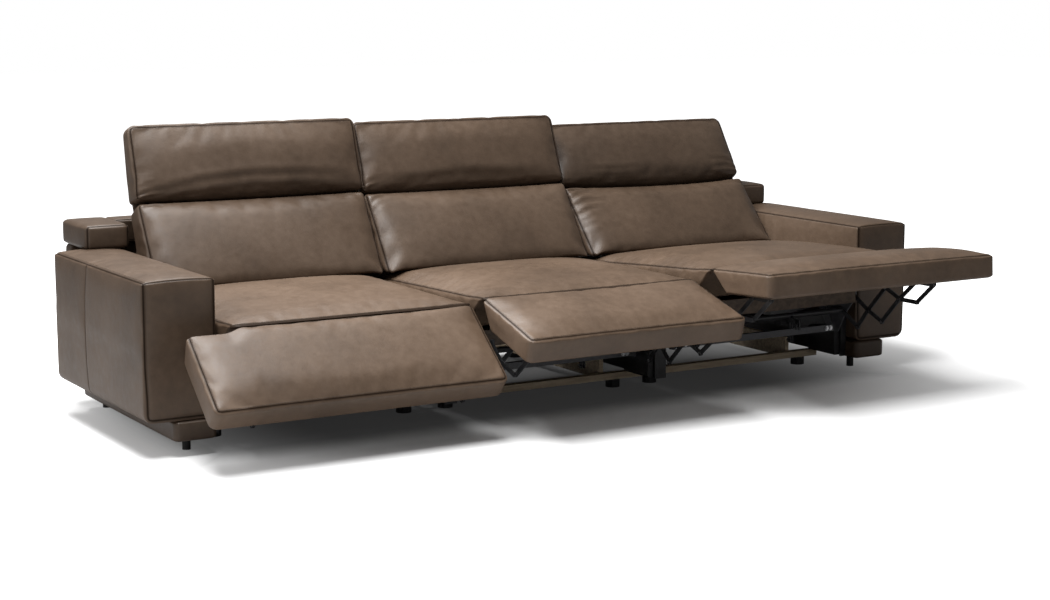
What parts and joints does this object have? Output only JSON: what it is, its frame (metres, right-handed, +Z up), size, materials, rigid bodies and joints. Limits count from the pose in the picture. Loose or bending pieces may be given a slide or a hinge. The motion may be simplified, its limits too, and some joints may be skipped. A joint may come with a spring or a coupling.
{
  "type": "reclining sofa",
  "caption": "reclining leather sofa whose seats open separately, with folding footrests on lazy-tongs links, glide-forward seats, reclining backs and tilting headrests",
  "frame": {"origin": "on the floor, under the middle of the sofa as stored with its footrests open", "axes": "+Z up; +X to the right as seen from the front; the sofa faces -Y, its back is towards +Y"},
  "size_m": [3.2, 1.6445, 1.0262],
  "materials": {
    "leather": "semi-matt taupe brown, fine grain",
    "rail_wood": "plain sawn softwood",
    "plywood": "plain brown plywood",
    "black_board": "painted matt black",
    "black_steel": "satin black",
    "grey_steel": "satin dark grey",
    "black_plastic": "matt black"
  },
  "bodies": {
    "base": {"arm_left": "leather", "arm_right": "leather", "arm_plinths": "leather", "back_rail": "leather", "rear_panel": "leather", "base_frame": "rail_wood", "side_brackets": "black_steel", "control_boxes": "black_plastic", "feet": "black_plastic"},
    "seat_left": {"seat_cushion_left": "leather", "seat_box_left": "plywood", "mechanism_frame_left": "grey_steel", "drive_motor_left": "black_plastic"},
    "slider_left": {"drive_slider_left": "black_plastic"},
    "footrest_left": {"footrest_pad_left": "leather", "footrest_board_left": "black_board"},
    "crank_left": {"crank_shaft_left": "black_steel"},
    "lower_link_left": {"tongs_lower_link_left": "black_steel"},
    "outer_link_left": {"tongs_outer_link_left": "black_steel"},
    "rear_riser_left": {"tongs_rear_riser_left": "black_steel"},
    "front_riser_left": {"tongs_front_riser_left": "black_steel"},
    "tip_link_left": {"tongs_tip_link_left": "black_steel"},
    "back_left": {"back_cushion_left": "leather", "back_frame_left": "plywood"},
    "headrest_left": {"headrest_left": "leather", "headrest_hinge_left": "black_steel"},
    "seat_centre": {"seat_cushion_centre": "leather", "seat_box_centre": "plywood", "mechanism_frame_centre": "grey_steel", "drive_motor_centre": "black_plastic"},
    "slider_centre": {"drive_slider_centre": "black_plastic"},
    "footrest_centre": {"footrest_pad_centre": "leather", "footrest_board_centre": "black_board"},
    "crank_centre": {"crank_shaft_centre": "black_steel"},
    "lower_link_centre": {"tongs_lower_link_centre": "black_steel"},
    "outer_link_centre": {"tongs_outer_link_centre": "black_steel"},
    "rear_riser_centre": {"tongs_rear_riser_centre": "black_steel"},
    "front_riser_centre": {"tongs_front_riser_centre": "black_steel"},
    "tip_link_centre": {"tongs_tip_link_centre": "black_steel"},
    "back_centre": {"back_cushion_centre": "leather", "back_frame_centre": "plywood"},
    "headrest_centre": {"headrest_centre": "leather", "headrest_hinge_centre": "black_steel"},
    "seat_right": {"seat_cushion_right": "leather", "seat_box_right": "plywood", "mechanism_frame_right": "grey_steel", "drive_motor_right": "black_plastic"},
    "slider_right": {"drive_slider_right": "black_plastic"},
    "footrest_right": {"footrest_pad_right": "leather", "footrest_board_right": "black_board"},
    "crank_right": {"crank_shaft_right": "black_steel"},
    "lower_link_right": {"tongs_lower_link_right": "black_steel"},
    "outer_link_right": {"tongs_outer_link_right": "black_steel"},
    "rear_riser_right": {"tongs_rear_riser_right": "black_steel"},
    "front_riser_right": {"tongs_front_riser_right": "black_steel"},
    "tip_link_right": {"tongs_tip_link_right": "black_steel"},
    "back_right": {"back_cushion_right": "leather", "back_frame_right": "plywood"},
    "headrest_right": {"headrest_right": "leather", "headrest_hinge_right": "black_steel"}
  },
  "joints": [
    {"name": "seat_glide_left", "type": "hinge", "parent": "base", "child": "seat_left", "pos_m": [-0.9, 0.568, 2.439], "axis": [-1, 0, 0], "range_deg": [0, 4]},
    {"name": "back_recline_left", "type": "hinge", "parent": "base", "child": "back_left", "pos_m": [-0.9, 0.324, 0.549], "axis": [-1, 0, 0], "range_deg": [0, 12]},
    {"name": "headrest_tilt_left", "type": "hinge", "parent": "back_left", "child": "headrest_left", "pos_m": [-0.9, 0.584, 0.722], "axis": [-1, 0, 0], "range_deg": [0, 45]},
    {"name": "footrest_lift_left", "type": "hinge", "parent": "seat_left", "child": "footrest_left", "pos_m": [-0.9, -0.333, 0.44], "axis": [-1, 0, 0], "range_deg": [-49, 40]},
    {"name": "crank_turn_left", "type": "hinge", "parent": "seat_left", "child": "crank_left", "pos_m": [-0.9, -0.065, 0.201], "axis": [-1, 0, 0], "range_deg": [-49, 40]},
    {"name": "lower_link_turn_left", "type": "hinge", "parent": "seat_left", "child": "lower_link_left", "pos_m": [-0.9, -0.129, 0.271], "axis": [-1, 0, 0], "range_deg": [-49, 40]},
    {"name": "rear_riser_turn_left", "type": "hinge", "parent": "crank_left", "child": "rear_riser_left", "pos_m": [-0.9, -0.09884, 0.09208], "axis": [-1, 0, 0], "range_deg": [-40, 49]},
    {"name": "front_riser_turn_left", "type": "hinge", "parent": "lower_link_left", "child": "front_riser_left", "pos_m": [-0.9, -0.19744, 0.08298], "axis": [-1, 0, 0], "range_deg": [-40, 49]},
    {"name": "outer_link_turn_left", "type": "hinge", "parent": "rear_riser_left", "child": "outer_link_left", "pos_m": [-0.9, -0.26684, 0.25608], "axis": [-1, 0, 0], "range_deg": [-49, 40]},
    {"name": "tip_link_turn_left", "type": "hinge", "parent": "outer_link_left", "child": "tip_link_left", "pos_m": [-0.9, -0.37061, 0.11023], "axis": [-1, 0, 0], "range_deg": [-40, 49]},
    {"name": "drive_slide_left", "type": "slide", "parent": "seat_left", "child": "slider_left", "axis": [0, -1, 0], "range_m": [-0.03859, 0.0315]},
    {"name": "seat_glide_centre", "type": "hinge", "parent": "base", "child": "seat_centre", "pos_m": [0, 0.568, 2.439], "axis": [-1, 0, 0], "range_deg": [-1.4, 2.6]},
    {"name": "back_recline_centre", "type": "hinge", "parent": "base", "child": "back_centre", "pos_m": [0, 0.324, 0.549], "axis": [-1, 0, 0], "range_deg": [-4.2, 7.8]},
    {"name": "headrest_tilt_centre", "type": "hinge", "parent": "back_centre", "child": "headrest_centre", "pos_m": [0, 0.59597, 0.70249], "axis": [-1, 0, 0], "range_deg": [0, 45]},
    {"name": "footrest_lift_centre", "type": "hinge", "parent": "seat_centre", "child": "footrest_centre", "pos_m": [0, -0.38157, 0.46261], "axis": [-1, 0, 0], "range_deg": [-71.6, 17.4]},
    {"name": "crank_turn_centre", "type": "hinge", "parent": "seat_centre", "child": "crank_centre", "pos_m": [0, -0.11949, 0.21713], "axis": [-1, 0, 0], "range_deg": [-71.6, 17.4]},
    {"name": "lower_link_turn_centre", "type": "hinge", "parent": "seat_centre", "child": "lower_link_centre", "pos_m": [0, -0.18176, 0.28868], "axis": [-1, 0, 0], "range_deg": [-71.6, 17.4]},
    {"name": "rear_riser_turn_centre", "type": "hinge", "parent": "crank_centre", "child": "rear_riser_centre", "pos_m": [0, -0.19471, 0.1314], "axis": [-1, 0, 0], "range_deg": [-17.4, 71.6]},
    {"name": "front_riser_turn_centre", "type": "hinge", "parent": "lower_link_centre", "child": "front_riser_centre", "pos_m": [0, -0.32075, 0.14475], "axis": [-1, 0, 0], "range_deg": [-17.4, 71.6]},
    {"name": "outer_link_turn_centre", "type": "hinge", "parent": "rear_riser_centre", "child": "outer_link_centre", "pos_m": [0, -0.35865, 0.29945], "axis": [-1, 0, 0], "range_deg": [-71.6, 17.4]},
    {"name": "tip_link_turn_centre", "type": "hinge", "parent": "outer_link_centre", "child": "tip_link_centre", "pos_m": [0, -0.51277, 0.20841], "axis": [-1, 0, 0], "range_deg": [-17.4, 71.6]},
    {"name": "drive_slide_centre", "type": "slide", "parent": "seat_centre", "child": "slider_centre", "axis": [0, -0.9997, 0.0244], "range_m": [-0.05638, 0.0137]},
    {"name": "seat_glide_right", "type": "hinge", "parent": "base", "child": "seat_right", "pos_m": [0.9, 0.568, 2.439], "axis": [-1, 0, 0], "range_deg": [-4, 0]},
    {"name": "back_recline_right", "type": "hinge", "parent": "base", "child": "back_right", "pos_m": [0.9, 0.324, 0.549], "axis": [-1, 0, 0], "range_deg": [-12, 0]},
    {"name": "headrest_tilt_right", "type": "hinge", "parent": "back_right", "child": "headrest_right", "pos_m": [0.9, 0.61429, 0.66416], "axis": [-1, 0, 0], "range_deg": [-4, 41]},
    {"name": "footrest_lift_right", "type": "hinge", "parent": "seat_right", "child": "footrest_right", "pos_m": [0.9, -0.47025, 0.50772], "axis": [-1, 0, 0], "range_deg": [-89, 0]},
    {"name": "crank_turn_right", "type": "hinge", "parent": "seat_right", "child": "crank_right", "pos_m": [0.9, -0.21957, 0.25061], "axis": [-1, 0, 0], "range_deg": [-89, 0]},
    {"name": "lower_link_turn_right", "type": "hinge", "parent": "seat_right", "child": "lower_link_right", "pos_m": [0.9, -0.27853, 0.3249], "axis": [-1, 0, 0], "range_deg": [-89, 0]},
    {"name": "rear_riser_turn_right", "type": "hinge", "parent": "crank_right", "child": "rear_riser_right", "pos_m": [0.9, -0.31958, 0.19577], "axis": [-1, 0, 0], "range_deg": [0, 89]},
    {"name": "front_riser_turn_right", "type": "hinge", "parent": "lower_link_right", "child": "front_riser_right", "pos_m": [0.9, -0.45837, 0.23719], "axis": [-1, 0, 0], "range_deg": [0, 89]},
    {"name": "outer_link_turn_right", "type": "hinge", "parent": "rear_riser_right", "child": "outer_link_right", "pos_m": [0.9, -0.47573, 0.37109], "axis": [-1, 0, 0], "range_deg": [-89, 0]},
    {"name": "tip_link_turn_right", "type": "hinge", "parent": "outer_link_right", "child": "tip_link_right", "pos_m": [0.9, -0.65169, 0.33825], "axis": [-1, 0, 0], "range_deg": [0, 89]},
    {"name": "drive_slide_right", "type": "slide", "parent": "seat_right", "child": "slider_right", "axis": [0, -0.9976, 0.0698], "range_m": [-0.07009, 0]}
  ],
  "couplings": [
    {"joint": "back_recline_left", "follows": "seat_glide_left", "ratio": 3},
    {"joint": "crank_turn_left", "follows": "footrest_lift_left", "ratio": 1},
    {"joint": "lower_link_turn_left", "follows": "footrest_lift_left", "ratio": 1},
    {"joint": "rear_riser_turn_left", "follows": "footrest_lift_left", "ratio": -1},
    {"joint": "front_riser_turn_left", "follows": "footrest_lift_left", "ratio": -1},
    {"joint": "outer_link_turn_left", "follows": "footrest_lift_left", "ratio": 1},
    {"joint": "tip_link_turn_left", "follows": "footrest_lift_left", "ratio": -1},
    {"joint": "drive_slide_left", "follows": "footrest_lift_left", "m_per_rad": 0.04512},
    {"joint": "back_recline_centre", "follows": "seat_glide_centre", "ratio": 3},
    {"joint": "crank_turn_centre", "follows": "footrest_lift_centre", "ratio": 1},
    {"joint": "lower_link_turn_centre", "follows": "footrest_lift_centre", "ratio": 1},
    {"joint": "rear_riser_turn_centre", "follows": "footrest_lift_centre", "ratio": -1},
    {"joint": "front_riser_turn_centre", "follows": "footrest_lift_centre", "ratio": -1},
    {"joint": "outer_link_turn_centre", "follows": "footrest_lift_centre", "ratio": 1},
    {"joint": "tip_link_turn_centre", "follows": "footrest_lift_centre", "ratio": -1},
    {"joint": "drive_slide_centre", "follows": "footrest_lift_centre", "m_per_rad": 0.04512},
    {"joint": "back_recline_right", "follows": "seat_glide_right", "ratio": 3},
    {"joint": "crank_turn_right", "follows": "footrest_lift_right", "ratio": 1},
    {"joint": "lower_link_turn_right", "follows": "footrest_lift_right", "ratio": 1},
    {"joint": "rear_riser_turn_right", "follows": "footrest_lift_right", "ratio": -1},
    {"joint": "front_riser_turn_right", "follows": "footrest_lift_right", "ratio": -1},
    {"joint": "outer_link_turn_right", "follows": "footrest_lift_right", "ratio": 1},
    {"joint": "tip_link_turn_right", "follows": "footrest_lift_right", "ratio": -1},
    {"joint": "drive_slide_right", "follows": "footrest_lift_right", "m_per_rad": 0.04512}
  ]
}
